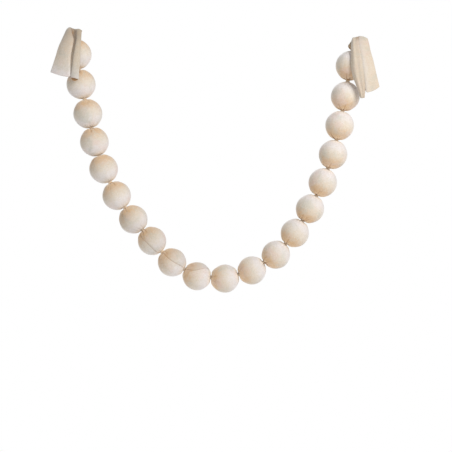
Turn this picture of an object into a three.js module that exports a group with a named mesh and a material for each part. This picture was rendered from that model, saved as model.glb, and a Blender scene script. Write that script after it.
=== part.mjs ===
// Velvet ball garland: one velvet sleeve drawn over twenty balls and gathered tight between them,
// with an empty end of the sleeve folded over at each place where it hangs.
// Millimetres, +Z up, +X to the right along the garland, +Y away from the viewer.
// The origin is midway between the two hanging places.

import * as THREE from 'three';
import { ParametricGeometry } from 'three/addons/geometries/ParametricGeometry.js';

const { degToRad, lerp, smoothstep, clamp } = THREE.MathUtils;

// Balls
const ballDiameter = 76.2;      // a three inch ball in its velvet
const ballTaut = 0.4;           // how much smaller the balls look where they press together
const ballFuller = 0.013;       // growth towards the tops, for each place squared from the lowest
const lowestBall = 11;
const firstBall = { x: -366.6, z: -56.4 };

// Links from ball to ball
const endPitch = 81;            // as if one more ball hung above each end ball
const meetingGap = 0.3;         // between the two halves of a neck

// Gathers
const neckRadius = 5.6;
const neckCrimp = 1.2;          // how deep the gathers cut into the neck
const pleatCount = 12;
const pleatDepth = 2.8;         // how deep the gathers cut into the ball beside its neck
const pleatReach = 15;          // how far from the neck the gathers run out
const ballSegments = 2 * pleatCount;
const ringRadii = [9.5, 15.5, 24.5, 33];

// Sleeve ends
const layer = 1.1;              // one velvet layer with its pile
const mouthWall = 0.7;          // the layer where the open mouth shows its edge
const hangRadius = 6;           // of the fold over the hanging place, to the middle of the cloth
const ballClearance = 2.4;      // between a ball and the cloth that falls past it
const neckPuff = 6.5;           // half thickness of the sleeve where it opens above the neck

// Each link from one ball's centre to the next, left to right: its length, longest at the tops
// where the weight below draws the necks out, and its fall from level in degrees
const links = [
  { pitch: 79.5, fall: 82 },
  { pitch: 79, fall: 77 },
  { pitch: 76, fall: 77 },
  { pitch: 75, fall: 71 },
  { pitch: 78, fall: 64 },
  { pitch: 76, fall: 55 },
  { pitch: 75, fall: 49 },
  { pitch: 77, fall: 47 },
  { pitch: 74.5, fall: 29 },
  { pitch: 74, fall: 5 },
  { pitch: 74, fall: -17 },
  { pitch: 75.5, fall: -33 },
  { pitch: 75.5, fall: -49 },
  { pitch: 75, fall: -58 },
  { pitch: 76.5, fall: -64 },
  { pitch: 78.5, fall: -70 },
  { pitch: 78, fall: -77 },
  { pitch: 78, fall: -79 },
  { pitch: 81.5, fall: -81 },
];

// The folded sleeve ends. Each row is a section across the cloth, from the fold over the hanging
// place to the hem: share of the fall, then how far outwards from the hanging place and how far
// out from the cloth's fall each fold lies. The lobe is the wide outer panel, its inner edge
// rolled forward. The tuck is how far the pleat runs back under the lobe before it turns to the
// inner panel, and it is negative where the pleat lies open.
const leftSections = [
  { share: 0, outer: 19.5, outerOut: 1.5, belly: 2, lobe: 8, lobeOut: 6.7, tuck: -6, floor: 3.5,
    inner: -3, innerOut: 3, edge: -19, edgeOut: -0.5 },
  { share: 0.06, outer: 21.5, outerOut: 2, belly: 2.5, lobe: 7.5, lobeOut: 10, tuck: -5, floor: 0,
    inner: -5, innerOut: 5, edge: -19, edgeOut: 0.5 },
  { share: 0.18, outer: 25.5, outerOut: 1.5, belly: 3, lobe: 3.5, lobeOut: 12, tuck: 4, floor: 0,
    inner: -6, innerOut: 6.5, edge: -19.5, edgeOut: 1.5 },
  { share: 0.3, outer: 30, outerOut: 0, belly: 4, lobe: -1.5, lobeOut: 12.5, tuck: 13,
    floor: 0.5, inner: -7.5, innerOut: 8, edge: -20.5, edgeOut: 3 },
  { share: 0.65, outer: 42.5, outerOut: -4, belly: 6, lobe: 5, lobeOut: 12, tuck: 17, floor: 1.5,
    inner: -1, innerOut: 8.5, edge: -19, edgeOut: 5 },
  { share: 1, outer: 56.5, outerOut: -8, belly: 6, lobe: 8, lobeOut: 12.5, tuck: 17, floor: 2.5,
    inner: 4, innerOut: 8, edge: -16, edgeOut: 6 },
];
const rightSections = [
  { share: 0, outer: 21, outerOut: 2, belly: 1.5, lobe: -1, lobeOut: 7.5, tuck: -5, floor: 4,
    inner: -11, innerOut: 3.5, edge: -18.5, edgeOut: -3.8 },
  { share: 0.08, outer: 23, outerOut: 3, belly: 2, lobe: -1, lobeOut: 9, tuck: -5, floor: 5,
    inner: -10.5, innerOut: 6, edge: -20, edgeOut: -1.5 },
  { share: 0.3, outer: 27, outerOut: 0, belly: 3, lobe: 1, lobeOut: 10.5, tuck: -5,
    floor: 7.5, inner: -8.5, innerOut: 9, edge: -23.5, edgeOut: 1.5 },
  { share: 0.65, outer: 37, outerOut: -2, belly: 4, lobe: 8, lobeOut: 11, tuck: -4.5,
    floor: 6, inner: -1, innerOut: 7.5, edge: -20.5, edgeOut: 1.5 },
  { share: 0.84, outer: 43.5, outerOut: -4, belly: 4, lobe: 11, lobeOut: 11.5, tuck: 0,
    floor: 2, inner: 4, innerOut: 4, edge: -9, edgeOut: 1.5 },
  { share: 1, outer: 49, outerOut: -6, belly: 4, lobe: 12.5, lobeOut: 12, tuck: 6, floor: 1,
    inner: 11.5, innerOut: 3, edge: 1.5, edgeOut: 2 },
];
const tails = [
  { name: 'tail_left', side: -1, ball: 0, hang: { x: -372, z: -0.5 }, neckTurn: -8,
    sections: leftSections, fall: { outer: 126.5, lobe: 140, tuck: 128, inner: 138, edge: 146 },
    gape: { lobe: 1.5, pleat: 0.6, inner: 6 }, backDrop: 4 },
  { name: 'tail_right', side: 1, ball: 19, hang: { x: 373, z: -23.5 }, neckTurn: 9,
    sections: rightSections, fall: { outer: 139.5, lobe: 156, tuck: 146, inner: 169.5, edge: 169.5 },
    gape: { lobe: 2.5, pleat: 1, inner: 1.5 }, backDrop: 1 },
];
const foldNames = ['outer', 'outerOut', 'belly', 'lobe', 'lobeOut', 'tuck', 'floor', 'inner',
  'innerOut', 'edge', 'edgeOut'];

const velvet = () => new THREE.MeshStandardMaterial({ color: 0xe9d8c3, roughness: 0.9, metalness: 0 });

const pitchOf = (link) => links[link - 1]?.pitch ?? endPitch;
const radiusOf = (ball) => ballDiameter / 2 - ballTaut + ballFuller * (ball - lowestBall) ** 2;
const neckReach = (link) => (pitchOf(link) - meetingGap) / 2;

// Ball centres, walked along the links
function ballCentres() {
  const centres = [new THREE.Vector3(firstBall.x, 0, firstBall.z)];
  for (const { pitch, fall } of links) {
    const slope = degToRad(fall);
    const step = new THREE.Vector3(Math.cos(slope), 0, -Math.sin(slope)).multiplyScalar(pitch);
    centres.push(centres.at(-1).clone().add(step));
  }
  return centres;
}

const leaning = (degrees) => new THREE.Vector3(Math.sin(degToRad(degrees)), 0, Math.cos(degToRad(degrees)));

// One ball in its velvet: a turned profile whose gathers cut in beside both necks, bent so that
// each neck points at its neighbour.
function ballGeometry({ number, radius, reachBefore, reachAfter, bend }) {
  const half = (reach) => [
    new THREE.Vector2(0, reach),
    new THREE.Vector2(neckRadius, reach),
    ...ringRadii.map((r) => new THREE.Vector2(r, Math.min(Math.sqrt(radius ** 2 - r ** 2), reach))),
  ];
  const profile = [
    ...half(reachAfter).map((p) => new THREE.Vector2(p.x, -p.y)),
    new THREE.Vector2(radius, 0),
    ...half(reachBefore).reverse(),
  ];
  const geometry = new THREE.LatheGeometry(profile, ballSegments);
  const position = geometry.attributes.position;
  const point = new THREE.Vector3();
  for (let i = 0; i < position.count; i++) {
    const segment = Math.floor(i / profile.length) % ballSegments;
    point.fromBufferAttribute(position, i);
    const fromAxis = Math.hypot(point.x, point.z);
    const valley = segment % 2;
    const uneven = 0.8 + 0.2 * Math.cos(5 * (segment / ballSegments) * 2 * Math.PI + number);
    if (fromAxis > 0 && fromAxis < neckRadius + 1) {
      const crimped = (fromAxis - valley * neckCrimp) / fromAxis;
      point.x *= crimped;
      point.z *= crimped;
    } else if (fromAxis > 0) {
      const cut = valley * uneven * pleatDepth * Math.exp(-((fromAxis / pleatReach) ** 2));
      point.multiplyScalar(1 - cut / point.length());
    }
    const turn = -bend * clamp(point.y / (0.8 * radius), -1, 1);
    point.applyAxisAngle(new THREE.Vector3(0, 0, 1), turn);
    position.setXYZ(i, point.x, point.y, point.z);
  }
  geometry.computeVertexNormals();
  return geometry;
}

function makeBall(index, centres) {
  const centre = centres[index];
  const before = index > 0
    ? centres[index - 1].clone().sub(centre).normalize()
    : leaning(tails[0].neckTurn);
  const after = index < centres.length - 1
    ? centres[index + 1].clone().sub(centre).normalize()
    : leaning(tails[1].neckTurn);
  const axis = before.clone().sub(after).normalize();
  const towardsViewer = new THREE.Vector3(0, -1, 0);
  const inside = axis.clone().cross(towardsViewer);
  const geometry = ballGeometry({
    number: index + 1,
    radius: radiusOf(index + 1),
    reachBefore: neckReach(index),
    reachAfter: neckReach(index + 1),
    bend: Math.asin(clamp(before.dot(inside), -1, 1)),
  });
  const mesh = new THREE.Mesh(geometry, velvet());
  mesh.name = `ball_${String(index + 1).padStart(2, '0')}`;
  mesh.position.copy(centre);
  mesh.quaternion.setFromRotationMatrix(new THREE.Matrix4().makeBasis(inside, axis, towardsViewer));
  return mesh;
}

// The way the middle of a sleeve end takes, seen from its side: up from the neck, over the
// hanging place, down over the front of the end ball and straight on to the hem. Horizontal is
// towards the viewer, vertical is height above the hanging place.
function sidePath(tail, centre, radius, neckHeight) {
  const over = radius + ballClearance + layer;
  const ballHeight = centre.z - tail.hang.z;
  const between = new THREE.Vector2(-hangRadius, ballHeight);
  const leave = between.angle() + Math.acos((hangRadius - over) / between.length()) - 2 * Math.PI;
  const path = new THREE.Path();
  path.moveTo(0, neckHeight);
  path.lineTo(0, 0);
  path.absarc(hangRadius, 0, hangRadius, Math.PI, leave, true);
  path.absarc(0, ballHeight, over, leave, 0, true);
  path.lineTo(over, ballHeight - 2 * Math.max(...Object.values(tail.fall)));
  return { path, length: path.getLength(), crown: -neckHeight + hangRadius * Math.PI / 2 };
}

// The folds across the cloth as a line of key points, outer edge first. The pleat's three layers
// lie evenly between the lobe and the floor, so half of one spacing is the radius of its turns.
const softestTurn = 2.4;
function foldPoints(s) {
  const turnRadius = (s.lobeOut - s.floor) / 4;
  const round = Math.max(1.2 * turnRadius, softestTurn);
  const closed = clamp(s.tuck / (2 * round), 0, 1);
  const under = s.floor + 2 * turnRadius;
  const slant = (1 - closed) * turnRadius / 2;
  const turn = s.lobe + s.tuck;
  const panel = (share) => new THREE.Vector3(lerp(s.outer, s.lobe + round, share),
    lerp(s.outerOut, s.lobeOut, share) + s.belly * Math.sin(Math.PI * share), 0);
  return [
    panel(0),
    panel(0.33),
    panel(0.7),
    panel(1),
    new THREE.Vector3(s.lobe, s.lobeOut - turnRadius, 0),
    new THREE.Vector3(s.lobe + (s.tuck > 0 ? closed * round : s.tuck / 3), under + slant, 0),
    new THREE.Vector3(s.tuck > 0 ? turn - closed * round : s.lobe + 2 * s.tuck / 3, under - slant, 0),
    new THREE.Vector3(turn, s.floor + turnRadius, 0),
    new THREE.Vector3(turn - lerp(0.8, 1, closed) * round, s.floor, 0),
    new THREE.Vector3(s.inner, (s.floor + s.innerOut) / 2, 0),
    new THREE.Vector3(s.inner - 3, s.innerOut, 0),
    new THREE.Vector3(lerp(s.inner, s.edge, 0.6), s.innerOut, 0),
    new THREE.Vector3(s.edge, s.edgeOut, 0),
  ];
}
const foldStations = [0, 1, 2, 3, 3.5, 4, 4.5, 5, 6, 6.5, 7, 7.5, 8, 9, 10, 11, 12];
const lobeStation = 3;
const turnStation = 7;
const innerStation = 9;
const lastStation = 12;
const columns = foldStations.length;
const loopSize = 2 * columns + 2;

// Where the rows lie: rising from the neck, falling from the crown, then back up inside the mouth
const riseRows = [0, 0.16, 0.32, 0.46, 0.6, 0.72, 0.82, 0.92];
const fallRows = Array.from({ length: 25 }, (_, i) => (i / 24) ** 1.25);
const mouthRows = fallRows.slice(-4).reverse();
const pocketShare = 1 - mouthRows.at(-1);
const rowCount = 1 + riseRows.length + fallRows.length + mouthRows.length;

function tailGeometry(tail, centre, radius) {
  const neckAxis = leaning(tail.neckTurn);
  const neckEnd = centre.clone().addScaledVector(neckAxis,
    neckReach(tail.ball === 0 ? 0 : tail.ball + 1) + meetingGap);
  const side = sidePath(tail, centre, radius, neckEnd.z - tail.hang.z);
  const table = new THREE.CubicInterpolant(
    tail.sections.map((row) => row.share),
    tail.sections.flatMap((row) => foldNames.map((name) => row[name])),
    foldNames.length,
  );
  const sectionAt = (share) => {
    const values = table.evaluate(share);
    return Object.fromEntries(foldNames.map((name, i) => [name, values[i]]));
  };
  const neckAcross = new THREE.Vector3(neckAxis.z, 0, -neckAxis.x).multiplyScalar(tail.side);
  const neckOutset = tail.side * (neckEnd.x - tail.hang.x);

  // A place on the side path, with the direction that faces out of the fold there
  const placeOnPath = (distance) => {
    const t = distance / side.length;
    const way = side.path.getTangent(t);
    return { at: side.path.getPoint(t), out: new THREE.Vector2(-way.y, way.x) };
  };
  const toWorld = (outwards, proud, place) => new THREE.Vector3(
    tail.hang.x + tail.side * outwards,
    -(place.at.x + place.out.x * proud),
    tail.hang.z + place.at.y + place.out.y * proud,
  );

  // The middle of the cloth and its facing at one column of a section
  const columnOf = (points, column) => {
    const line = new THREE.CatmullRomCurve3(points, false, 'centripetal');
    const t = foldStations[column] / (points.length - 1);
    const way = line.getTangent(t);
    return { at: line.getPoint(t), facing: new THREE.Vector3(way.y, -way.x, 0) };
  };
  const flatPoints = (halfWidth, outset) => foldPoints(tail.sections[0]).map((_, key, all) =>
    new THREE.Vector3(outset + halfWidth * (1 - 2 * key / (all.length - 1)), 0, 0));

  // One point of the loop round the sleeve. Columns run along the outer face, round the inner
  // edge, back along the other face and round the outer edge.
  const loopColumn = (c) => {
    if (c < columns) return { column: c, face: 1, edge: 0 };
    if (c === columns) return { column: columns - 1, face: 0, edge: 1 };
    if (c <= 2 * columns) return { column: 2 * columns - c, face: -1, edge: 0 };
    return { column: 0, face: 0, edge: -1 };
  };
  const offset = (middle, spot, half) => {
    const point = middle.at.clone().addScaledVector(middle.facing, spot.face * half);
    const outwards = new THREE.Vector3(-middle.facing.y, middle.facing.x, 0);
    return point.addScaledVector(outwards, spot.edge * half);
  };

  const risePoint = (share, c) => {
    const spot = loopColumn(c);
    const angle = 2 * Math.PI * ((c + 1) % loopSize) / loopSize;
    const crimp = c % 2 ? neckCrimp : 0;
    const around = (reach) => neckEnd.clone()
      .addScaledVector(neckAxis, share * side.crown * 0.5)
      .addScaledVector(neckAcross, (reach - crimp) * Math.cos(angle))
      .add(new THREE.Vector3(0, (reach - crimp) * Math.sin(angle), 0));
    const folded = foldPoints(tail.sections[0]);
    const flat = flatPoints(lerp(neckRadius, tail.sections[0].outer, share ** 0.6),
      lerp(neckOutset, 0, smoothstep(share, 0.35, 1)));
    const draped = flat.map((p, i) => p.lerp(folded[i], smoothstep(share, 0.4, 1)));
    const puffed = neckPuff * Math.abs(Math.sin(angle));
    const half = lerp(puffed, layer, smoothstep(share, 0.35, 0.9));
    const middle = offset(columnOf(draped, spot.column), spot, half);
    const opened = toWorld(middle.x, middle.y, placeOnPath(share * side.crown));
    return around(neckRadius).lerp(opened, smoothstep(share, 0, 0.38));
  };

  // How far each fold falls, and how far the mouth gapes there
  const fallOf = (station) => {
    const { outer, lobe, tuck, inner, edge } = tail.fall;
    if (station < lobeStation) return lerp(outer, lobe, Math.sin(Math.PI / 2 * station / lobeStation));
    if (station < turnStation) {
      return lerp(lobe, tuck, (station - lobeStation) / (turnStation - lobeStation));
    }
    if (station < innerStation) {
      return lerp(tuck, inner, (station - turnStation) / (innerStation - turnStation));
    }
    return lerp(inner, edge, (station - innerStation) / (lastStation - innerStation));
  };
  const gapeOf = (station) => {
    const { lobe, pleat, inner } = tail.gape;
    if (station < lobeStation) return lobe * Math.sin(Math.PI * station / lobeStation);
    if (station < innerStation) {
      return pleat * Math.sin(Math.PI * (station - lobeStation) / (innerStation - lobeStation));
    }
    return inner * Math.sin(Math.PI * (station - innerStation) / (lastStation - innerStation));
  };
  const fallPoint = (share, c, inside) => {
    const spot = loopColumn(c);
    const station = foldStations[spot.column];
    const opening = smoothstep(share, 1 - pocketShare, 1);
    const backHem = spot.face < 0 && station > innerStation ? tail.backDrop * opening : 0;
    const distance = side.crown + share * fallOf(station) + backHem;
    const gaping = layer + opening * gapeOf(station) / 2;
    const half = inside ? (gaping - mouthWall) * Math.min(1, opening * 4) : gaping;
    const middle = offset(columnOf(foldPoints(sectionAt(share)), spot.column), spot, half);
    return toWorld(middle.x, middle.y, placeOnPath(distance));
  };

  const pointAt = (row, c) => {
    if (row === 0) return neckEnd;
    const rise = row - 1;
    if (rise < riseRows.length) return risePoint(riseRows[rise], c);
    const fall = rise - riseRows.length;
    if (fall < fallRows.length) return fallPoint(fallRows[fall], c, false);
    return fallPoint(mouthRows[fall - fallRows.length], c, true);
  };
  const origin = new THREE.Vector3(tail.hang.x, 0, tail.hang.z);
  return new ParametricGeometry((u, v, target) => {
    const around = Math.round(u * loopSize);
    const c = (tail.side < 0 ? loopSize - around : around) % loopSize;
    target.copy(pointAt(Math.round(v * (rowCount - 1)), c)).sub(origin);
  }, loopSize, rowCount - 1);
}

function makeTail(tail, centres) {
  const geometry = tailGeometry(tail, centres[tail.ball], radiusOf(tail.ball + 1));
  const mesh = new THREE.Mesh(geometry, velvet());
  mesh.name = tail.name;
  mesh.position.set(tail.hang.x, 0, tail.hang.z);
  return mesh;
}

const garland = new THREE.Group();
const centres = ballCentres();
centres.forEach((_, index) => garland.add(makeBall(index, centres)));
tails.forEach((tail) => garland.add(makeTail(tail, centres)));

export default garland;
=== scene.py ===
import math
import random

import bpy
import numpy as np
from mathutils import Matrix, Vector, noise


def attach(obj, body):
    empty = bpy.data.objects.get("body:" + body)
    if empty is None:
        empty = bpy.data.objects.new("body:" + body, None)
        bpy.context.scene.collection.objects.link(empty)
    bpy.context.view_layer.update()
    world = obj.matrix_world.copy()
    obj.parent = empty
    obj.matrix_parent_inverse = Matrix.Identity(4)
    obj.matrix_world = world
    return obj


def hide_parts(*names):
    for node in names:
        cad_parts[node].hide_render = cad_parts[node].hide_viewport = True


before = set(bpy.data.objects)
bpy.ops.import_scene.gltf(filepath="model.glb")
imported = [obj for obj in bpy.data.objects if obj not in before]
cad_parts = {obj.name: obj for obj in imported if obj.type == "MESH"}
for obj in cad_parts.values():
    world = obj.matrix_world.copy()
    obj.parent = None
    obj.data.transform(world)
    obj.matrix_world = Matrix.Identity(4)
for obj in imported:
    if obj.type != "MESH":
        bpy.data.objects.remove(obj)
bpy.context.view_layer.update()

mm = 0.001

# The camera stands level and square on to the swag, as the photograph was taken
photoCamera = {
    "eye": (0.02495, -2.8, -0.5068),
    "lens": 84.92,    # 452 pixels take in 1.187 m at the garland
}

bpy.ops.object.camera_add(location=photoCamera["eye"], rotation=(math.pi / 2, 0, 0))
camera = bpy.context.active_object
camera.name = "photoCamera"
camera.data.lens = photoCamera["lens"]
bpy.context.scene.camera = camera

# The run of balls, in millimetres and degrees, as the part's own solids have it
run = {
    "ballDiameter": 76.2,
    "taut": 0.4,             # the lowest balls press together, so their radius is this much less
    "fuller": 0.013,         # and it grows towards the tops, by this for each place squared from the lowest
    "lowestBall": 11,
    "firstBall": (-366.6, 0, -56.4),
    "endPitch": 81,          # the two outer necks lie half of this from their ball's centre
    "neckTurns": (-8, 9),    # how the two end necks lean
    "gap": 0.3,
    # each link's length and its fall from level, left to right
    "links": (
        (79.5, 82), (79, 77), (76, 77), (75, 71), (78, 64), (76, 55), (75, 49), (77, 47), (74.5, 29),
        (74, 5), (74, -17), (75.5, -33), (75.5, -49), (75, -58), (76.5, -64), (78.5, -70),
        (78, -77), (78, -79), (81.5, -81),
    ),
}
ballCount = len(run["links"]) + 1
viewer = Vector((0, -1, 0))


def leaning(degrees):
    return Vector((math.sin(math.radians(degrees)), 0, math.cos(math.radians(degrees))))


def walkCentres():
    centres = [Vector(run["firstBall"])]
    for length, fall in run["links"]:
        slope = math.radians(fall)
        centres.append(centres[-1] + length * Vector((math.cos(slope), 0, -math.sin(slope))))
    return centres


def radiusOf(number):
    return run["ballDiameter"] / 2 - run["taut"] + run["fuller"] * (number - run["lowestBall"]) ** 2


def neckReach(neck):    # from a ball's centre to the face of the neck
    inner = 0 < neck < ballCount
    return ((run["links"][neck - 1][0] if inner else run["endPitch"]) - run["gap"]) / 2


centres = walkCentres()


def smoothstep(value, low, high):
    t = np.clip((value - low) / (high - low), 0, 1)
    return t * t * (3 - 2 * t)


def mixed(a, b, t):
    return a + (b - a) * t


# The gathers at the necks
gathers = {
    "seed": 40,
    "count": (12, 15),
    "uneven": 0.28,           # how far a crease strays from its even place, as a share of the spacing
    "depth": (1.9, 3.0),      # of a crease beside its neck
    "reach": (16, 30),        # how far it runs out over the ball
    "width": (1.3, 2.1),
    "longCount": (3, 5),      # a few faint ones run further
    "longDepth": (0.5, 0.9),
    "longReach": (32, 44),
    "longWidth": 1.6,
    "drift": 0.01,            # radians a millimetre that a crease strays sideways
    "room": 0.36,             # a crease takes at most this share of its place round the neck,
    "leastRing": 3,           # which is measured on a ring of at least this radius
    "farWidth": 0.75,         # how much of its width is left at its far end
    "roundness": 1.6,         # 2 makes a round crease, 1 a sharp one
    "taper": 0.9,             # 1 lets it run out evenly, less keeps it deep for longer
    "atFace": 0.5,            # how much of its depth it has at the neck's face
    "fullFrom": 5,            # and how far from there it has all of it
    "deepest": 3.6,           # where creases meet
    "puff": 0.88,             # how far the velvet stands up between creases
    "puffRise": (2, 6),       # how far from the neck it rises to that
    "puffFall": (10, 26),     # and sinks again
    "softerAfter": 0.6,       # the neck after a ball is drawn in less sharply
    "softerFrom": 4,
}


def makeCreases(neck):
    rng = random.Random(gathers["seed"] + neck)
    count = rng.randint(*gathers["count"])
    creases = []
    for i in range(count):
        creases.append({
            "angle": 2 * math.pi * (i + rng.uniform(-gathers["uneven"], gathers["uneven"])) / count,
            "depth": rng.uniform(*gathers["depth"]),
            "reach": rng.uniform(*gathers["reach"]),
            "width": rng.uniform(*gathers["width"]),
            "drift": rng.uniform(-1, 1) * gathers["drift"],
        })
    for _ in range(rng.randint(*gathers["longCount"])):
        creases.append({
            "angle": rng.uniform(0, 2 * math.pi),
            "depth": rng.uniform(*gathers["longDepth"]),
            "reach": rng.uniform(*gathers["longReach"]),
            "width": gathers["longWidth"],
            "drift": rng.uniform(-1, 1) * gathers["drift"],
        })
    return creases


neckCreases = [makeCreases(neck) for neck in range(ballCount + 1)]


# How deep the gathers of a neck cut in, at an angle round it and that far along from it
def creaseDepth(neck, angle, radius, along):
    creases = neckCreases[neck]
    room = 2 * math.pi * np.maximum(radius, gathers["leastRing"]) / len(creases) * gathers["room"]
    near = mixed(gathers["atFace"], 1, smoothstep(along, 0, gathers["fullFrom"]))
    total = np.zeros_like(angle)
    for crease in creases:
        share = np.clip(along / crease["reach"], 0, 1)
        off = angle - crease["angle"] - crease["drift"] * np.clip(along, 0, None)
        off = (off + math.pi) % (2 * math.pi) - math.pi
        width = np.minimum(crease["width"], room) * mixed(1, gathers["farWidth"], share)
        across = np.exp(-np.abs(off * radius / width) ** gathers["roundness"])
        total += crease["depth"] * near * (1 - share) ** gathers["taper"] * across
    total = gathers["deepest"] * np.tanh(total / gathers["deepest"])
    puffed = smoothstep(along, *gathers["puffRise"]) * (1 - smoothstep(along, *gathers["puffFall"]))
    return total - gathers["puff"] * puffed


# The velvet round a ball
velvetBall = {
    "segments": 128,
    "rings": 92,
    "neckRadius": 5.2,
    "neckFlare": 0.5,
    "rim": (0.5, 0.3),             # how far the edge of the neck's face is rounded, inwards and down
    "flareDepth": 1,               # how far below the face the neck starts to open out
    "throat": (0.6, 0.6, 0.84),    # its bend: outwards, share of the way to the shoulder, and fullness
    "shoulder": 13,                # ring radius where the ball leaves its round shape for the neck
    "shoulderLead": 3.2,
    "throatSteps": 16,
    "arcSteps": 40,
    "crowdedRows": 0.66,           # the mesh's rows are closer together towards the necks
    "slopeStep": 0.4,
    "steadyFrom": 2,               # creases cut straight inwards at the neck, and square in from here
    "drawnIn": 0.75,               # the pile lies this much inside the plain solid's face
    "neckLap": 0.12,               # and the necks all but touch
    "lump": 0.45,                  # how uneven the filled velvet is
    "lumpScale": 62,               # a lump is about 16 mm across
    "lumpShift": 7.3,
    "lumpRings": (8, 20),          # ring radii where it starts and is full
    "bendReach": 0.8,              # a pole's bend takes up this much of the radius
    "fullGather": 1.1,             # a crease this deep has the whole painted shade of a fold
    "gatherAtFace": 0.1,           # how much of that painted shade it has at the neck's face
    "gatherFullFrom": 3.5,
    "neckLightReach": 13,                # how far the painted bounce light and highlights round a neck reach
    "seamDepth": 0.8,
    "seamWidth": 0.7,
    "seamLip": 0.3,
    "lipPlace": 2.6,               # the lips' distance from the seam and their width, in seam widths
    "lipWidth": 1.4,
    "seamFade": (6, 12),           # ring radii between which it fades towards a neck
    "seamShade": 0.3,              # painted shade: the nap on the inner side of the seam is made to look darker
    "shadeFade": (0.5, 2.2),       # and this fades between these angles from it
    "seamGrip": 0.15,              # radians either side of the seam where the mesh is drawn together
    "seamCrowd": 0.8,
    # degrees round the ball from the viewer towards the inside of the swag: start, middle, end
    "seamTurns": {
        7: (-75, -62, -50), 8: (-40, -17, -30), 9: (2, 8, 12), 10: (10, 32, 80), 11: (95, 105, 120),
    },
    "seamAtBack": (165, 172, 160),
}


def bezier(a, b, c, d, t):
    return (1 - t) ** 3 * a + 3 * (1 - t) ** 2 * t * b + 3 * (1 - t) * t * t * c + t ** 3 * d


def lengthsAlong(line):
    return np.concatenate([[0], np.cumsum(np.linalg.norm(np.diff(line, axis=0), axis=1))])


# Ring radius and height from the middle of a neck's face out to the ball's middle
def halfProfile(radius, reach):
    neck, shoulder, lead = velvetBall["neckRadius"], velvetBall["shoulder"], velvetBall["shoulderLead"]
    rimIn, rimDown = velvetBall["rim"]
    outwards, down, fullness = velvetBall["throat"]
    opening = neck + velvetBall["neckFlare"]
    low = reach - velvetBall["flareDepth"]
    rise = math.sqrt(radius ** 2 - shoulder ** 2)
    face = [(0, reach), (neck / 2, reach), (neck - rimIn, reach), (neck, reach - rimDown)]
    controls = [np.array(p) for p in (
        (opening, low),
        (opening + outwards, mixed(low, rise, down) + fullness),
        (shoulder - lead, rise + lead * shoulder / rise),
        (shoulder, rise),
    )]
    throat = [tuple(bezier(*controls, t)) for t in np.linspace(0, 1, velvetBall["throatSteps"])]
    turns = np.linspace(math.asin(shoulder / radius), math.pi / 2, velvetBall["arcSteps"])[1:]
    arc = [(radius * math.sin(a), radius * math.cos(a)) for a in turns]
    line = np.array(face + throat + arc)
    length = lengthsAlong(line)
    return line, length, length[len(face)]


# Points of one half of a ball's velvet: side is 1 towards the neck before it, -1 towards the next
def placeOnBall(number, side, share, angle):
    radius = radiusOf(number) - velvetBall["drawnIn"]
    neck = number - 1 if side > 0 else number
    line, length, neckEnd = halfProfile(radius, neckReach(neck) + velvetBall["neckLap"])

    def lineAt(spot):
        return np.array([np.interp(spot, length, line[:, 0]), np.interp(spot, length, line[:, 1])])

    crowded, step = velvetBall["crowdedRows"], velvetBall["slopeStep"]
    spot = length[-1] * ((1 - crowded) * share + crowded * share ** 2)
    ring, height = lineAt(spot)
    wayRing, wayHeight = lineAt(spot + step) - lineAt(spot - step)
    size = np.hypot(wayRing, wayHeight)
    along = spot - neckEnd
    steady = smoothstep(along, 0, velvetBall["steadyFrom"])
    outRing, outHeight = mixed(1, -wayHeight / size, steady), mixed(0, wayRing / size, steady)
    cut = creaseDepth(neck, angle, ring, along) * np.minimum(ring / velvetBall["neckRadius"], 1) ** 2
    if side < 0:
        cut = cut * mixed(1, gathers["softerAfter"], smoothstep(along, 0, gathers["softerFrom"]))
    return ring - cut * outRing, side * (height - cut * outHeight), ring, height, cut, along


# Where the seam lies round a ball, t from the neck before it to the neck after
def seamTurn(number, t):
    first, middle, last = velvetBall["seamTurns"].get(number, velvetBall["seamAtBack"])
    return np.radians(first * (1 - t) * (1 - 2 * t) + middle * 4 * t * (1 - t) + last * t * (2 * t - 1))


# The mesh's columns are drawn together along the seam, at 0
def gatherToSeam(turn):
    grip, crowd = velvetBall["seamGrip"], velvetBall["seamCrowd"]
    return turn * (1 + crowd * grip / math.pi) - crowd * grip * np.tanh(turn / grip)


# The groove and lips of the sleeve's seam, and how close a point is to it
def seamOffset(off, ring):
    distance = np.abs(off) * ring / velvetBall["seamWidth"]
    groove = np.exp(-distance ** 2)
    lip = np.exp(-((distance - velvetBall["lipPlace"]) / velvetBall["lipWidth"]) ** 2)
    fade = smoothstep(ring, *velvetBall["seamFade"])
    return (velvetBall["seamLip"] * lip - velvetBall["seamDepth"] * groove) * fade, groove * fade


def selectOnly(piece):
    bpy.ops.object.select_all(action="DESELECT")
    piece.select_set(True)
    bpy.context.view_layer.objects.active = piece


def addFloats(piece, name, values):
    attribute = piece.data.attributes.new(name, "FLOAT", "POINT")
    attribute.data.foreach_set("value", np.asarray(values, np.float32))


def makeBallPattern():    # one round of velvet, the start of every ball
    bpy.ops.object.select_all(action="DESELECT")
    bpy.ops.mesh.primitive_uv_sphere_add(
        segments=velvetBall["segments"], ring_count=velvetBall["rings"],
        radius=run["ballDiameter"] / 2 * mm, location=(0, 0, 0))
    pattern = bpy.context.active_object
    pattern.name = "ballPattern"
    bpy.ops.object.shade_smooth()
    return pattern


def readPoints(piece):
    points = np.empty(len(piece.data.vertices) * 3)
    piece.data.vertices.foreach_get("co", points)
    return points.reshape(-1, 3)


# A ball's axis, the way from it to the inside of the swag, and how far its poles bend to their neighbours
def axisOf(number):
    centre = centres[number - 1]
    before = (centres[number - 2] - centre).normalized() if number > 1 else leaning(run["neckTurns"][0])
    after = (centres[number] - centre).normalized() if number < ballCount else leaning(run["neckTurns"][1])
    axis = (before - after).normalized()
    inside = axis.cross(viewer)
    return axis, inside, math.asin(max(-1, min(1, before.dot(inside))))


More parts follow.
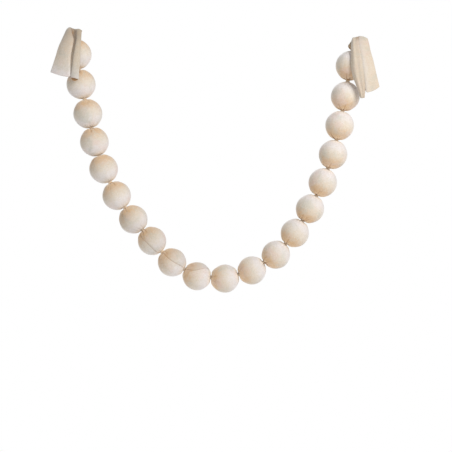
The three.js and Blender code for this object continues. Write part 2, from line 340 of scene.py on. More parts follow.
def lumpiness(points, number):
    shift = Vector((number * velvetBall["lumpShift"], 0, 0))
    return np.array([noise.noise(Vector(p) * velvetBall["lumpScale"] + shift) for p in points])


def makeBall(pattern, number):
    selectOnly(pattern)
    bpy.ops.object.duplicate()
    ball = bpy.context.active_object
    ball.name = f"velvetBall{number:02d}"
    start = readPoints(ball)
    polar = np.arccos(np.clip(start[:, 2] / np.linalg.norm(start, axis=1), -1, 1))
    upper = polar <= math.pi / 2
    share = np.where(upper, polar, math.pi - polar) / (math.pi / 2)
    radius = radiusOf(number) - velvetBall["drawnIn"]
    offSeam = gatherToSeam(np.arctan2(start[:, 1], start[:, 0]))
    angle = offSeam + seamTurn(number, smoothstep(-start[:, 2] / start[:, 2].max(), -1, 1))
    sides = [placeOnBall(number, side, share, angle) for side in (1, -1)]
    ring, height, plainRing, plainHeight, cut, along = (np.where(upper, a, b) for a, b in zip(*sides))
    plainHeight = np.where(upper, plainHeight, -plainHeight)
    seam, nearSeam = seamOffset(offSeam, plainRing)
    lump = velvetBall["lump"] * lumpiness(start, number) * smoothstep(plainRing, *velvetBall["lumpRings"])
    swell = 1 + (seam + lump) / radius
    ring, height = ring * swell, height * swell

    # each pole is bent to point at its neighbour
    axis, inside, bend = axisOf(number)
    inwards = ring * np.sin(angle)
    turn = bend * np.clip(height / (velvetBall["bendReach"] * radius), -1, 1)
    inwards, height = (inwards * np.cos(turn) + height * np.sin(turn),
                       height * np.cos(turn) - inwards * np.sin(turn))
    points = (np.outer(ring * np.cos(angle), viewer) + np.outer(inwards, inside) + np.outer(height, axis)
              + np.array(centres[number - 1])) * mm
    ball.data.vertices.foreach_set("co", points.ravel())
    ball.data.update()

    # painted shade in the creases, as deep as they cut
    folded = np.clip(cut / velvetBall["fullGather"], 0, 1)
    beyondFace = smoothstep(along, 0, velvetBall["gatherFullFrom"])
    innerSide = (offSeam > 0) * (1 - smoothstep(offSeam, *velvetBall["shadeFade"]))
    addFloats(ball, "gather", folded * mixed(velvetBall["gatherAtFace"], 1, beyondFace))
    # how near a neck each point is: the mask for painted warm bounce light and crest highlights
    addFloats(ball, "neck", np.exp(-(np.clip(along, 0, None) / velvetBall["neckLightReach"]) ** 2))
    addFloats(ball, "seam", nearSeam)
    # where each point lies between the poles, which sets the painted sheen of the nap
    addFloats(ball, "napSheen", np.clip(0.5 + 0.5 * plainHeight / radius, 0, 1))
    addFloats(ball, "shade", velvetBall["seamShade"] * innerSide)
    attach(ball, "root")
    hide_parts(f"ball_{number:02d}")
    return ball


ballPattern = makeBallPattern()
velvetBalls = [makeBall(ballPattern, number) for number in range(1, ballCount + 1)]
bpy.data.objects.remove(ballPattern)
print("balls made:", len(velvetBalls))

# The folded sleeve ends
sleeveEnd = {
    "layer": 0.9,            # one velvet layer with its pile
    "mouthWall": 0.55,       # and round the open mouth
    "hangRadius": 6,
    "ballClearance": 2.4,
    "tightest": 0.45,        # in a tight turn a layer is at most this share of the turn's radius
    "straight": 0.001,       # a bend gentler than this, 1 over its radius, doesn't count
    "pressReach": 3,         # the pressing is evened out over this many points each way
    "panelKeys": (0, 0.33, 0.7, 1),    # shares of the outer panel at its key points
    "turnOval": 1.2,         # a fold's turn is this much wider than it is deep,
    "softestTurn": 2.4,      # and at least this wide
    "farTurn": 0.8,          # the turn at the far side of an open pleat is narrower
    "innerLead": 3,          # the inner panel lies flat from this far past its start
    "flatUntil": 0.6,        # to this share of the way to its edge
    "pleatEase": 4,          # the pleat closes over this much more of its tuck
    "pleatPressed": 0.5,     # its middle layer is this much thinner,
    "pressedPlace": (5.5, 0.9),      # round this station and over this width
    "pleatPlace": (5.8, 2.5),        # and the same for the painted shade in the pleat
    "lobePlace": (3.6, 1.5),         # and for the painted highlight at the turn into it
    "edgePoints": 3,
    "fallRows": 120,
    "topCrowding": 1.15,     # rows are a little closer together at the top
    "mouthRows": 26,
    "mouthCloses": 0.25,     # the inside of the mouth closes over this share of its depth
    "mergeWithin": 0.00001,  # metres
}
# Each section goes across the cloth at its share of the fall. The columns outer, lobe, inner and edge are
# the folds' places outwards from the hanging place, those with Out and the floor stand out towards the
# viewer, belly is the outer panel's bulge, and tuck is how far the cloth turns back under the lobe.
sectionColumns = ("share", "outer", "outerOut", "belly", "lobe", "lobeOut", "tuck", "floor",
                  "inner", "innerOut", "edge", "edgeOut")
leftEnd = {
    "name": "sleeveEndLeft",
    "node": "tail_left",
    "side": -1,
    "ball": 1,
    "hang": (-372, -0.5),
    "neckTurn": run["neckTurns"][0],
    "sections": (
        (0, 19.5, 1.5, 2, 8, 6.7, -6, 3.5, -3, 3, -19, -0.5),
        (0.06, 21.5, 2, 2.5, 7.5, 10, -5, 0, -5, 5, -19, 0.5),
        (0.18, 25.5, 1.5, 3, 3.5, 12, 4, 0, -6, 6.5, -19.5, 1.5),
        (0.3, 30, 0, 4, -1.5, 12.5, 13, 0.5, -7.5, 8, -20.5, 3),
        (0.65, 42.5, -2, 4, 4, 12, 17, 1.5, -1, 8.5, -19, 5),
        (1, 56.5, 0, 3, 5, 12, 16, 2.5, 4, 8, -16, 6),
    ),
    "fall": {"outer": 126.5, "lobe": 140, "tuck": 128, "inner": 138, "edge": 146},
    "gape": {"lobe": 1.5, "pleat": 0.6, "inner": 8},    # how far the mouth stands open at each fold
    "backDrop": 6.5,         # and how much lower its back hangs
    # painted shade inside the mouth
    "insideShade": 0.5,
    "lobeHighlight": -0.05,        # painted highlight: the nap is made paler where the cloth turns into the pleat
    "innerShade": 0.5,       # and the panel beyond it is more in shade
    # down the fall: the nap's painted sheen, the painted shade, and the painted shade in its pleat
    "tones": ((0, 0.5, 0.7, 0.4), (0.1, 0.6, 0.65, 0.85), (0.4, 0.6, 0.15, 0.85), (0.75, 0.5, 0, 0.6),
              (0.9, 0.3, 0, 0.6), (1, 0.1, 0, 0.5)),
}
rightEnd = {
    "name": "sleeveEndRight",
    "node": "tail_right",
    "side": 1,
    "ball": 20,
    "hang": (373, -23.5),
    "neckTurn": run["neckTurns"][1],
    "sections": (
        (0, 21, 2, 1.5, -1, 7.5, -5, 4.8, -11, 4, -18.5, -3.8),
        (0.08, 23, 3, 2, -1, 9, -5, 7.2, -10.5, 6.5, -20, -1.5),
        (0.3, 27, 0, 1.8, 1, 10.5, -6, 9.6, -9.5, 9, -23.5, 1.5),
        (0.65, 37, -2, 2, 8, 11, -6, 9.8, -2, 8.5, -20.5, 1.5),
        (0.84, 43.5, -4, 2.5, 11, 11.5, -4, 9.2, 3, 7.5, -9, 2),
        (1, 49, -6, 3, 12.5, 12, -1.5, 8.5, 6.5, 7, 0, 3.5),
    ),
    "fall": {"outer": 139.5, "lobe": 156, "tuck": 146, "inner": 169.5, "edge": 169.5},
    "gape": {"lobe": 2.5, "pleat": 1, "inner": 1.5},
    "backDrop": 1,
    "insideShade": 0.3,
    "lobeHighlight": -0.2,
    "innerShade": 0.05,
    "tones": ((0, 0.55, 0.6, 1), (0.05, 0.55, 0.55, 0.5), (0.12, 0.55, 0.5, 0), (0.6, 0.55, 0.4, 0),
              (1, 0.6, 0.35, 0.1)),
}


# Up from the neck, over the hanging place, down past the ball and straight on to the hem
def sidePath(end, neckHeight):
    hang = sleeveEnd["hangRadius"]
    over = radiusOf(end["ball"]) + sleeveEnd["ballClearance"] + sleeveEnd["layer"]
    ballHeight = centres[end["ball"] - 1].z - end["hang"][1]
    span = math.hypot(hang, ballHeight)
    leave = math.atan2(ballHeight, -hang) + math.acos((hang - over) / span)
    leave = (leave + math.pi) % (2 * math.pi) - math.pi
    hangEnd = np.array((hang + hang * math.cos(leave), hang * math.sin(leave)))
    ballStart = np.array((over * math.cos(leave), ballHeight + over * math.sin(leave)))
    straight = ballStart - hangEnd
    lengths = (-neckHeight, hang * (math.pi - leave), float(np.linalg.norm(straight)), over * leave)

    def place(distance):    # where the path is that far along, and which way it goes
        if distance < lengths[0]:
            return np.array((0, neckHeight + distance)), np.array((0, 1))
        distance -= lengths[0]
        if distance < lengths[1]:
            a = math.pi - distance / hang
            at = np.array((hang + hang * math.cos(a), hang * math.sin(a)))
            return at, np.array((math.sin(a), -math.cos(a)))
        distance -= lengths[1]
        if distance < lengths[2]:
            way = straight / lengths[2]
            return hangEnd + way * distance, way
        distance -= lengths[2]
        if distance < lengths[3]:
            a = leave - distance / over
            at = np.array((over * math.cos(a), ballHeight + over * math.sin(a)))
            return at, np.array((math.sin(a), -math.cos(a)))
        return np.array((over, ballHeight - (distance - lengths[3]))), np.array((0, -1))

    return place, -neckHeight + hang * math.pi / 2


def sectionAt(end, share):    # smoothly between the sections given
    rows = np.array(end["sections"], float)
    stops = rows[:, 0]
    slopes = np.gradient(rows, stops, axis=0)
    i = int(np.clip(np.searchsorted(stops, share, "right") - 1, 0, len(stops) - 2))
    gap = stops[i + 1] - stops[i]
    t = (share - stops[i]) / gap
    values = ((2 * t ** 3 - 3 * t ** 2 + 1) * rows[i] + (t ** 3 - 2 * t ** 2 + t) * gap * slopes[i]
              + (3 * t ** 2 - 2 * t ** 3) * rows[i + 1] + (t ** 3 - t ** 2) * gap * slopes[i + 1])
    return dict(zip(sectionColumns, values))


# The folds across the cloth as a line of key points, outer edge first
def foldPoints(s):
    turnRadius = (s["lobeOut"] - s["floor"]) / 4
    around = max(sleeveEnd["turnOval"] * turnRadius, sleeveEnd["softestTurn"])
    closed = min(max(s["tuck"] / (2 * around + sleeveEnd["pleatEase"]), 0), 1)
    under = s["floor"] + 2 * turnRadius
    slant = (1 - closed) * turnRadius / 2
    turn = s["lobe"] + s["tuck"]

    def panel(share):
        return (mixed(s["outer"], s["lobe"] + around, share),
                mixed(s["outerOut"], s["lobeOut"], share) + s["belly"] * math.sin(math.pi * share))

    tucked = s["tuck"] > 0
    return np.array([
        *[panel(share) for share in sleeveEnd["panelKeys"]],
        (s["lobe"], s["lobeOut"] - turnRadius),
        (s["lobe"] + (closed * around if tucked else s["tuck"] / 3), under + slant),
        (turn - closed * around if tucked else s["lobe"] + 2 * s["tuck"] / 3, under - slant),
        (turn, s["floor"] + turnRadius),
        (turn - mixed(sleeveEnd["farTurn"], 1, closed) * around, s["floor"]),
        (s["inner"], (s["floor"] + s["innerOut"]) / 2),
        (s["inner"] - sleeveEnd["innerLead"], s["innerOut"]),
        (mixed(s["inner"], s["edge"], sleeveEnd["flatUntil"]), s["innerOut"]),
        (s["edge"], s["edgeOut"]),
    ])


# Stations count the key points, and there are more between the lobe and the inner panel, where it folds
lobeStation, turnStation, hemStation, innerStation, lastStation = 3, 7, 8, 9, 12
flatStep, foldedStep = 0.2, 0.125
stations = np.concatenate([
    np.arange(0, lobeStation, flatStep),
    np.arange(lobeStation, innerStation, foldedStep),
    np.arange(innerStation, lastStation + flatStep / 2, flatStep),
])


# A smooth line through key points, read at every station: places and directions
def smoothLine(keys):
    first, last = 2 * keys[0] - keys[1], 2 * keys[-1] - keys[-2]
    p = np.vstack([first, keys, last])
    i = np.minimum(stations.astype(int), len(keys) - 2)
    t = (stations - i)[:, None]
    p0, p1, p2, p3 = p[i], p[i + 1], p[i + 2], p[i + 3]
    spans = ((p0, p1), (p1, p2), (p2, p3))
    d0, d1, d2 = (np.sqrt(np.linalg.norm(b - a, axis=1))[:, None] for a, b in spans)
    m1 = ((p1 - p0) / d0 - (p2 - p0) / (d0 + d1) + (p2 - p1) / d1) * d1
    m2 = ((p2 - p1) / d1 - (p3 - p1) / (d1 + d2) + (p3 - p2) / d2) * d1
    c2 = -3 * p1 + 3 * p2 - 2 * m1 - m2
    c3 = 2 * p1 - 2 * p2 + m1 + m2
    way = m1 + 2 * c2 * t + 3 * c3 * t * t
    return p1 + m1 * t + c2 * t * t + c3 * t ** 3, way / np.linalg.norm(way, axis=1)[:, None]


# Inside a tight turn the velvet is pressed thinner
def pressed(halves, bending):
    room = sleeveEnd["tightest"] / np.maximum(bending, sleeveEnd["straight"])
    reach = sleeveEnd["pressReach"]
    padded = np.pad(room, reach, mode="edge")
    least = np.min([padded[i:i + len(room)] for i in range(2 * reach + 1)], axis=0)
    padded = np.pad(np.minimum(least, halves), reach, mode="edge")
    return np.mean([padded[i:i + len(room)] for i in range(2 * reach + 1)], axis=0)


# One loop round the flattened sleeve: the outer face, the inner edge, the other face and the outer edge
def loopRound(places, ways, halves, hollow):
    facing = np.column_stack([ways[:, 1], -ways[:, 0]])
    bending = (np.gradient(ways, lengthsAlong(places), axis=0) * facing).sum(axis=1)
    front = places + facing * (pressed(halves, bending) * hollow)[:, None]
    back = places - facing * (pressed(halves, -bending) * hollow)[:, None]
    turns = np.linspace(0, math.pi, sleeveEnd["edgePoints"] + 2)[1:-1, None]
    tips = halves * hollow
    innerEdge = places[-1] + tips[-1] * (facing[-1] * np.cos(turns) + ways[-1] * np.sin(turns))
    outerEdge = places[0] - tips[0] * (facing[0] * np.cos(turns) + ways[0] * np.sin(turns))
    return np.vstack([front, innerEdge, back[::-1], outerEdge])


frontCount = len(stations)
loopSize = 2 * frontCount + 2 * sleeveEnd["edgePoints"]
loopStation = np.concatenate([
    stations, np.full(sleeveEnd["edgePoints"], float(lastStation)),
    stations[::-1], np.zeros(sleeveEnd["edgePoints"])])
loopBack = np.arange(loopSize) >= frontCount + sleeveEnd["edgePoints"] // 2
loopBack[-(sleeveEnd["edgePoints"] // 2):] = False


def bump(station, place, sharpness=2):    # 1 at a place and nearly 0 beyond its width
    middle, width = place
    return np.exp(-np.abs((station - middle) / width) ** sharpness)


def arch(station, low, high):    # 0 at both stations and 1 midway
    return np.sin(math.pi * np.clip((station - low) / (high - low), 0, 1))


def fallOf(fall, station):    # how far the cloth falls at each point of a loop
    lobeShare = np.sin(math.pi / 2 * np.clip(station / lobeStation, 0, 1))
    outerPanel = mixed(fall["outer"], fall["lobe"], lobeShare)
    rest = np.interp(station, (lobeStation, turnStation, hemStation, lastStation),
                     (fall["lobe"], fall["tuck"], fall["inner"], fall["edge"]))
    return np.where(station < lobeStation, outerPanel, rest)


def gapeOf(gape, station):    # how wide the mouth stands open there
    return (gape["lobe"] * arch(station, 0, lobeStation)
            + gape["pleat"] * arch(station, lobeStation, innerStation)
            + gape["inner"] * arch(station, innerStation, lastStation))


# Painted light of each point of a loop, as gather, neck, nap and shade, that share of the way down the fall
def tonesAt(end, share):
    stops = np.array(end["tones"])
    napSheen, shade, pleatShade = (np.interp(share, stops[:, 0], stops[:, i]) for i in (1, 2, 3))
    # painted shade in the pleat, on the front face only
    pleat = bump(loopStation, sleeveEnd["pleatPlace"], 3) * (1 - loopBack)
    lobeHighlight = end["lobeHighlight"] * bump(loopStation, sleeveEnd["lobePlace"])
    innerShade = end["innerShade"] * smoothstep(loopStation, turnStation, innerStation)
    return np.column_stack([pleatShade * pleat, np.zeros(loopSize), napSheen + lobeHighlight, shade + innerShade])


# painted shade all over the inside of the mouth
def wrongSideTones(end):
    return np.tile((end["insideShade"], 0, 1, end["insideShade"]), (loopSize, 1))


def hangUp(end):    # where an end hangs, and the way from its sections to the world
    side = end["side"]
    hangX, hangZ = end["hang"]
    neckAxis = leaning(end["neckTurn"])
    neck = 0 if end["ball"] == 1 else ballCount
    foot = np.array(centres[end["ball"] - 1] + neckAxis * (neckReach(neck) + run["gap"]))
    place, crown = sidePath(end, foot[2] - hangZ)

    def toWorld(section, distance):
        world = []
        for (outwards, proud), far in zip(section, distance):
            at, way = place(far)
            world.append((hangX + side * outwards, way[1] * proud - at[0], hangZ + at[1] + way[0] * proud))
        return np.array(world)

    return {
        "neck": neck,
        "foot": foot,
        "axis": np.array(neckAxis),
        "across": side * np.array((neckAxis.z, 0, -neckAxis.x)),
        "outset": side * (foot[0] - hangX),
        "crown": crown,
        "toWorld": toWorld,
    }


# The rise from the gathered neck, where the sleeve opens from a small ring to flat, folded cloth.
# A pair of shares says over what part of the rise a thing happens.
sleeveRise = {
    "rows": 38,
    "neckRadius": 5.6,
    "neckPuff": 6.5,
    "thinnest": 0.4,
    "earlySpread": 0.6,          # this much of the widening comes early, the rest late,
    "spreadPowers": (0.45, 3),   # by these powers of the share
    "unringed": (0, 0.26),       # the ring gives way to the opened cloth
    "centred": (0.3, 1),         # the cloth comes over the hanging place
    "closed": (0.35, 0.9),       # its two layers close on each other
    "folded": (0.4, 1),          # its folds form
    "ringHeight": 0.5,           # how steeply the ring rises, as a share of the way
    "creaseRing": (6, 20),       # the gathers are those of a ring of this radius at the foot and crown,
    "creaseHeight": 0.6,         # and of this share of the height
    "deepest": 2,
    "fullGather": 1.5,           # a crease this deep has the whole painted shade of a fold
    "creased": 0.4,              # and the neck has this much of it everywhere
    "creasedFade": (0.35, 0.8),
    "neckToneFade": (0, 0.6),
    "footTones": (0.7, 1),       # painted nap sheen and painted shade at the neck
    "footTonesFade": (0.3, 0.9),
}


def riseRows(end, hung):
    firstFold = foldPoints(sectionAt(end, 0))
    outerWidth = end["sections"][0][1]
    early, late = sleeveRise["spreadPowers"]
    angle = 2 * math.pi * (np.arange(loopSize) + (sleeveEnd["edgePoints"] + 1) / 2) / loopSize
    neckAngle = np.arctan2(-np.cos(angle), -np.sin(angle))
    puffed = sleeveRise["neckPuff"] * np.abs(np.sin(angle[:frontCount]))
    rows = [np.tile(hung["foot"], (loopSize, 1))]
    tones = [tonesAt(end, 0)]
    for share in np.linspace(0, 1, sleeveRise["rows"], endpoint=False):
        height = share * hung["crown"]
        widening = mixed(share ** late, share ** early, sleeveRise["earlySpread"])
        spread = mixed(sleeveRise["neckRadius"], outerWidth, widening)
        outset = mixed(hung["outset"], 0, smoothstep(share, *sleeveRise["centred"]))
        across = outset + spread * np.linspace(1, -1, len(firstFold))
        flat = np.column_stack([across, np.zeros(len(firstFold))])
        places, ways = smoothLine(mixed(flat, firstFold, smoothstep(share, *sleeveRise["folded"])))
        halves = mixed(puffed, sleeveEnd["layer"], smoothstep(share, *sleeveRise["closed"]))
        loop = loopRound(places, ways, np.maximum(halves, sleeveRise["thinnest"]), np.ones(frontCount))
        opened = hung["toWorld"](loop, np.full(loopSize, height))

        creaseRing = np.full(loopSize, mixed(*sleeveRise["creaseRing"], share))
        creaseHeight = np.full(loopSize, height * sleeveRise["creaseHeight"])
        cut = creaseDepth(hung["neck"], neckAngle, creaseRing, creaseHeight)
        reach = sleeveRise["neckRadius"] - np.minimum(cut, sleeveRise["deepest"])
        ring = (hung["foot"] + hung["axis"] * height * sleeveRise["ringHeight"]
                + np.outer(reach * np.cos(angle), hung["across"])
                - np.outer(reach * np.sin(angle), viewer))
        rows.append(mixed(ring, opened, smoothstep(share, *sleeveRise["unringed"])))

        # painted shade in the creases of the gathered neck, and the nap's painted sheen and shade there
        tone = tonesAt(end, 0)
        creased = sleeveRise["creased"] * (1 - smoothstep(share, *sleeveRise["creasedFade"]))
        folded = np.clip(cut / sleeveRise["fullGather"] + creased, 0, 1)
        tone[:, 0] = np.maximum(tone[:, 0] * share, folded * (1 - share))
        tone[:, 1] = 1 - smoothstep(share, *sleeveRise["neckToneFade"])
        footFade = smoothstep(share, *sleeveRise["footTonesFade"])
        tone[:, 2:] = mixed(np.array(sleeveRise["footTones"]), tone[:, 2:], footFade)
        tones.append(tone)
    return rows, tones


# The fall to the hem, and from there back up inside the mouth
def fallRows(end, hung):
    shares = (np.arange(sleeveEnd["fallRows"] + 1) / sleeveEnd["fallRows"]) ** sleeveEnd["topCrowding"]
    mouthShares = shares[-sleeveEnd["mouthRows"]:][::-1]
    mouthDepth = 1 - mouthShares[-1]
    closing = mouthDepth * sleeveEnd["mouthCloses"]
    thin = 1 - sleeveEnd["pleatPressed"] * bump(stations, sleeveEnd["pressedPlace"])
    drop = end["backDrop"] * loopBack * arch(loopStation, innerStation, lastStation)
    stops = [(share, False) for share in shares] + [(share, True) for share in mouthShares]
    rows, tones = [], []
    for share, inside in stops:
        opening = smoothstep(share, 1 - mouthDepth, 1)
        places, ways = smoothLine(foldPoints(sectionAt(end, share)))
        halves = sleeveEnd["layer"] + opening * gapeOf(end["gape"], stations) / 2
        hollow = np.ones(frontCount)
        if inside:
            hollow = (1 - sleeveEnd["mouthWall"] / halves) * min(1, (share - 1 + mouthDepth) / closing)
        distance = hung["crown"] + share * fallOf(end["fall"], loopStation) + drop * opening
        rows.append(hung["toWorld"](loopRound(places, ways, halves * thin, hollow), distance))
        tones.append(wrongSideTones(end) if inside else tonesAt(end, share))
    return rows, tones


def makeSleeveEnd(end):
    hung = hangUp(end)
    rows, tones = (above + below for above, below in zip(riseRows(end, hung), fallRows(end, hung)))
    bpy.ops.object.select_all(action="DESELECT")
    bpy.ops.mesh.primitive_grid_add(
        x_subdivisions=loopSize, y_subdivisions=len(rows) - 1, size=0.2, location=(0, 0, 0))
    piece = bpy.context.active_object
    piece.name = end["name"]
    # the grid's own points come row by row, and each row is one loop round the sleeve
    points = np.array([np.vstack([row, row[:1]]) for row in rows])
    piece.data.vertices.foreach_set("co", (points * mm).reshape(-1))
    piece.data.update()
    looped = np.array([np.vstack([tone, tone[:1]]) for tone in tones]).reshape(-1, 4)
    for column, name in enumerate(("gather", "neck", "napSheen", "shade")):
        addFloats(piece, name, looped[:, column])
    addFloats(piece, "seam", np.zeros(len(looped)))
    bpy.ops.object.mode_set(mode="EDIT")
    bpy.ops.mesh.select_all(action="SELECT")
    bpy.ops.mesh.remove_doubles(threshold=sleeveEnd["mergeWithin"])
    bpy.ops.mesh.normals_make_consistent(inside=False)
    bpy.ops.object.mode_set(mode="OBJECT")
    bpy.ops.object.shade_smooth()
    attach(piece, "root")
    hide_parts(end["node"])
    return piece


sleeveEnds = [makeSleeveEnd(end) for end in (leftEnd, rightEnd)]
print("sleeve ends made")

# Cream velvet with its nap along the sleeve; the nap's sheen is painted warm at one pole, pale at the
# other.
velvetLook = {
    "warmNapSheen": (0.75, 0.49, 0.265, 1),
    "cream": (0.75, 0.655, 0.54, 1),
    "paleNapSheen": (0.79, 0.735, 0.71, 1),
    "warmSheenEnds": (0.47, 0.97),    # along a ball, where the painted warm sheen starts and is full
    "paleSheenEnds": (0.55, 0.15),
    "drift": 0.07,               # how far brush marks move these ends,
    "brushEnds": (0.25, 0.75),   # between these values of their noise
    "pink": (0.78, 0.60, 0.53, 1),
    "sage": (0.60, 0.585, 0.50, 1),
    "ochreBounce": (0.68, 0.42, 0.20, 1),
    "fold": (0.35, 0.165, 0.06, 1),
    "crestHighlight": (0.95, 0.82, 0.61, 1),
    "pileDark": (0.62, 0.58, 0.53, 1),
    "shaded": (0.66, 0.635, 0.59, 1),
    "deep": (0.42, 0.34, 0.27, 1),
    "fleckPale": (0.93, 0.90, 0.88, 1),
    "roughness": 0.95,
    "specular": 0.12,
    "sheen": 0.75,
    "sheenRoughness": 0.45,
    "sheenTint": (0.98, 0.985, 1, 1),
    # scale a metre, detail, shift and distortion: a cloud is about 4 cm across, a speck under 2 mm
    "noises": {
        "cloud": (24, 3, 0, 0.6),
        "otherCloud": (31.2, 3, 4.7, 0.6),
        "brush": (130, 3, 1.9, 0.8),
        "fleck": (330, 2, 5.3, 0.5),
        "speck": (620, 2, 7.1, 0),
        "pile": (1900, 2, 2.3, 0),
    },
    # what lies over the nap: colour, noise, where it starts and is full, how much at most
    "mottling": (
        ("pink", "cloud", 0.5, 0.72, 0.55, "MIX"),
        ("sage", "otherCloud", 0.5, 0.72, 0.5, "MIX"),
        ("fleckPale", "fleck", 0.52, 0.7, 0.2, "MIX"),
        ("pileDark", "fleck", 0.48, 0.32, 0.13, "MULTIPLY"),
        ("pileDark", "speck", 0.42, 0.72, 0.22, "MULTIPLY"),
    ),
    "napEnds": (0.3, 1),         # painted neck light and fold shade grow with the nap from least to most
    "bounceShares": (0.2, 0.6),
    "foldShares": (0.35, 0.95),
    "crestEnds": (0.25, 0),      # and the velvet between the creases gets a painted highlight this much lighter
    "crestMost": 0.9,
    "seamShare": 0.55,
    # strength and height in metres
    "bumps": (("brush", 0.35, 0.0012), ("speck", 0.4, 0.0006), ("pile", 0.35, 0.0003)),
}


def makeVelvet():
    material = bpy.data.materials.new("creamVelvet")
    material.use_nodes = True
    nodes, links = material.node_tree.nodes, material.node_tree.links
    surface = nodes["Principled BSDF"]
    surface.inputs["Roughness"].default_value = velvetLook["roughness"]
    surface.inputs["Specular IOR Level"].default_value = velvetLook["specular"]
    surface.inputs["Sheen Weight"].default_value = velvetLook["sheen"]
    surface.inputs["Sheen Roughness"].default_value = velvetLook["sheenRoughness"]
    surface.inputs["Sheen Tint"].default_value = velvetLook["sheenTint"]
    coords = nodes.new("ShaderNodeTexCoord")

    def noiseOf(scale, detail, shift, distortion):
        moved = nodes.new("ShaderNodeMapping")
        moved.inputs["Location"].default_value = (shift, shift, shift)
        links.new(coords.outputs["Object"], moved.inputs["Vector"])
        texture = nodes.new("ShaderNodeTexNoise")
        texture.inputs["Scale"].default_value = scale
        texture.inputs["Detail"].default_value = detail
        texture.inputs["Distortion"].default_value = distortion
        links.new(moved.outputs["Vector"], texture.inputs["Vector"])
        return texture.outputs["Fac"]

    def ranged(value, low, high, least=0.0, most=1.0):
        node = nodes.new("ShaderNodeMapRange")
        node.interpolation_type = "SMOOTHSTEP"
        node.inputs["From Min"].default_value = low
        node.inputs["From Max"].default_value = high
        node.inputs["To Min"].default_value = least
        node.inputs["To Max"].default_value = most
        links.new(value, node.inputs["Value"])
        return node.outputs["Result"]

    def worked(operation, first, second):
        node = nodes.new("ShaderNodeMath")
        node.operation = operation
        for socket, value in zip(node.inputs, (first, second)):
            if isinstance(value, (int, float)):
                socket.default_value = value
            else:
                links.new(value, socket)
        return node.outputs["Value"]

    def tinted(under, colour, share, blend="MIX"):
        node = nodes.new("ShaderNodeMix")
        node.data_type = "RGBA"
        node.blend_type = blend
        for name, value in (("A", under), ("B", colour), ("Factor", share)):
            socket = next(i for i in node.inputs if i.name == name and i.enabled)
            if isinstance(value, (int, float, tuple)):
                socket.default_value = value
            else:
                links.new(value, socket)
        return next(o for o in node.outputs if o.enabled)

    def attribute(name):
        node = nodes.new("ShaderNodeAttribute")
        node.attribute_name = name
        return node.outputs["Fac"]

    def bumped(height, strength, distance, under):
        node = nodes.new("ShaderNodeBump")
        node.inputs["Strength"].default_value = strength
        node.inputs["Distance"].default_value = distance
        links.new(height, node.inputs["Height"])
        if under is not None:
            links.new(under, node.inputs["Normal"])
        return node.outputs["Normal"]

    look = velvetLook
    napSheen, gather, neck, seam, shade = (
        attribute(name) for name in ("napSheen", "gather", "neck", "seam", "shade"))
    noises = {name: noiseOf(*values) for name, values in look["noises"].items()}
    drift = ranged(noises["brush"], *look["brushEnds"], -look["drift"], look["drift"])
    drifting = worked("ADD", napSheen, drift)

    # painted sheen of the nap: warm towards one pole, pale towards the other
    colour = tinted(look["cream"], look["warmNapSheen"], ranged(drifting, *look["warmSheenEnds"]))
    colour = tinted(colour, look["paleNapSheen"], ranged(drifting, *look["paleSheenEnds"]))
    for tint, name, start, full, most, blend in look["mottling"]:
        colour = tinted(colour, look[tint], ranged(noises[name], start, full, 0, most), blend)
    # painted shade, darker still where it lies in pleats and inside the mouth
    colour = tinted(colour, look["shaded"], shade, "MULTIPLY")
    colour = tinted(colour, look["deep"], worked("MULTIPLY", gather, shade), "MULTIPLY")
    # painted warm bounce light and nap sheen round the necks
    ochreBounce = worked("MULTIPLY", neck, ranged(napSheen, *look["napEnds"], *look["bounceShares"]))
    colour = tinted(colour, look["ochreBounce"], ochreBounce)
    # painted shade in the creases
    folded = worked("MULTIPLY", gather, ranged(napSheen, *look["napEnds"], *look["foldShares"]))
    colour = tinted(colour, look["fold"], folded)
    # painted highlight on the velvet between the creases near a neck
    crestHighlight = worked("MULTIPLY", neck, ranged(gather, *look["crestEnds"], 0, look["crestMost"]))
    colour = tinted(colour, look["crestHighlight"], crestHighlight)
    # and the seam's own dark line, in the same colour
    colour = tinted(colour, look["fold"], worked("MULTIPLY", seam, look["seamShare"]))
    links.new(colour, surface.inputs["Base Color"])

    normal = None
    for name, strength, height in look["bumps"]:
        normal = bumped(noises[name], strength, height, normal)
    links.new(normal, surface.inputs["Normal"])
    return material


creamVelvet = makeVelvet()
for piece in velvetBalls + sleeveEnds:
    piece.data.materials.clear()
    piece.data.materials.append(creamVelvet)
print("velvet put on")

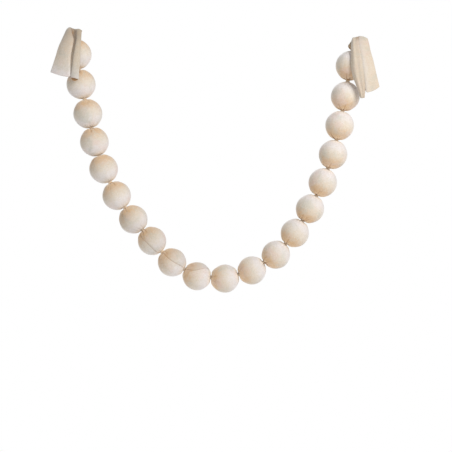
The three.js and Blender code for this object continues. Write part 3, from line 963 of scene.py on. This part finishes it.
# A pale floor and soft studio light
studio = {
    "floorHeight": -2.0,
    "floorSize": 8.4,
    "floorColour": (0.9, 0.9, 0.9, 1),
    "floorRoughness": 0.9,
    "floorGlow": 0.28,
    "white": (1, 1, 1, 1),
    "aim": (0, 0, -0.35),    # the middle of the swag
    "key": {"place": (1.35, -1.6, 0.85), "size": 1.2, "power": 38},
    "fill": {"place": (0.3, -2.8, -0.8), "size": 2.0, "power": 7},
    "back": {"place": (-0.9, 2.6, 0.4), "size": 2.4, "power": 34},
    "world": 0.43,           # the light it gives, while the camera sees plain white
}

bpy.ops.object.select_all(action="DESELECT")
bpy.ops.mesh.primitive_plane_add(size=studio["floorSize"], location=(0, 0, studio["floorHeight"]))
floor = bpy.context.active_object
floor.name = "paleFloor"
paleFloor = bpy.data.materials.new("paleFloor")
paleFloor.use_nodes = True
floorSurface = paleFloor.node_tree.nodes["Principled BSDF"]
floorSurface.inputs["Base Color"].default_value = studio["floorColour"]
floorSurface.inputs["Roughness"].default_value = studio["floorRoughness"]
floorSurface.inputs["Emission Color"].default_value = studio["white"]
floorSurface.inputs["Emission Strength"].default_value = studio["floorGlow"]
floor.data.materials.append(paleFloor)

for name in ("key", "fill", "back"):
    light = studio[name]
    place = Vector(light["place"])
    aim = (Vector(studio["aim"]) - place).to_track_quat("-Z", "Y").to_euler()
    bpy.ops.object.light_add(type="AREA", location=place, rotation=aim)
    lamp = bpy.context.active_object
    lamp.name = name + "Light"
    lamp.data.size = light["size"]
    lamp.data.energy = light["power"]

world = bpy.data.worlds.new("whiteStudio")
bpy.context.scene.world = world
world.use_nodes = True
worldNodes, worldLinks = world.node_tree.nodes, world.node_tree.links
soft = worldNodes["Background"]
soft.inputs["Color"].default_value = studio["white"]
soft.inputs["Strength"].default_value = studio["world"]
white = worldNodes.new("ShaderNodeBackground")
white.inputs["Color"].default_value = studio["white"]
white.inputs["Strength"].default_value = 1
rays = worldNodes.new("ShaderNodeLightPath")
choice = worldNodes.new("ShaderNodeMixShader")
worldLinks.new(rays.outputs["Is Camera Ray"], choice.inputs["Fac"])
worldLinks.new(soft.outputs["Background"], choice.inputs[1])
worldLinks.new(white.outputs["Background"], choice.inputs[2])
worldLinks.new(choice.outputs["Shader"], worldNodes["World Output"].inputs["Surface"])
bpy.context.scene.view_settings.view_transform = "Standard"
print("studio lit")
